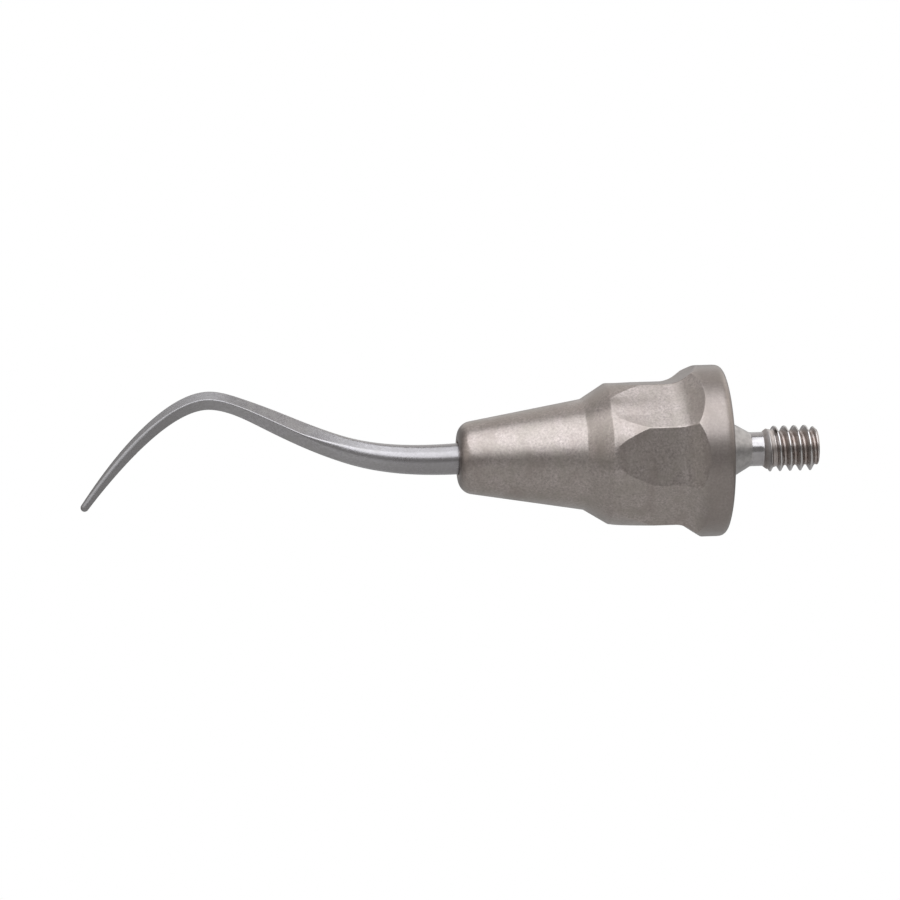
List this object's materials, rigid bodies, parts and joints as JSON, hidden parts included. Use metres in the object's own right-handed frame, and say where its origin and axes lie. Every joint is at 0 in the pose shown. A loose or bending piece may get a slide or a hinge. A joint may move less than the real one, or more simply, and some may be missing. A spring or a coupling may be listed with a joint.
{
  "type": "ultrasonic scaler tip",
  "caption": "Screw-on ultrasonic scaler tip: curved tapering steel blade in a tapered, flatted wrench body with a threaded stud.",
  "frame": {"origin": "centre of the wrench body's rear face, on the axis of the thread", "axes": "+X along the thread's axis out of the stud, away from the blade; the blade is bent in the XZ plane and its hook points to -Z; +Y makes the frame right-handed"},
  "size_m": [0.0459, 0.0106, 0.0106],
  "materials": {
    "blasted_steel": "bead-blasted matte stainless steel, fine grain",
    "machined_steel": "bright turned stainless steel",
    "tip_steel": "satin hardened stainless steel, ground facets"
  },
  "bodies": {
    "root": {"wrench_body": "blasted_steel", "threaded_stud": "machined_steel", "scaler_tip": "tip_steel"}
  },
  "joints": []
}
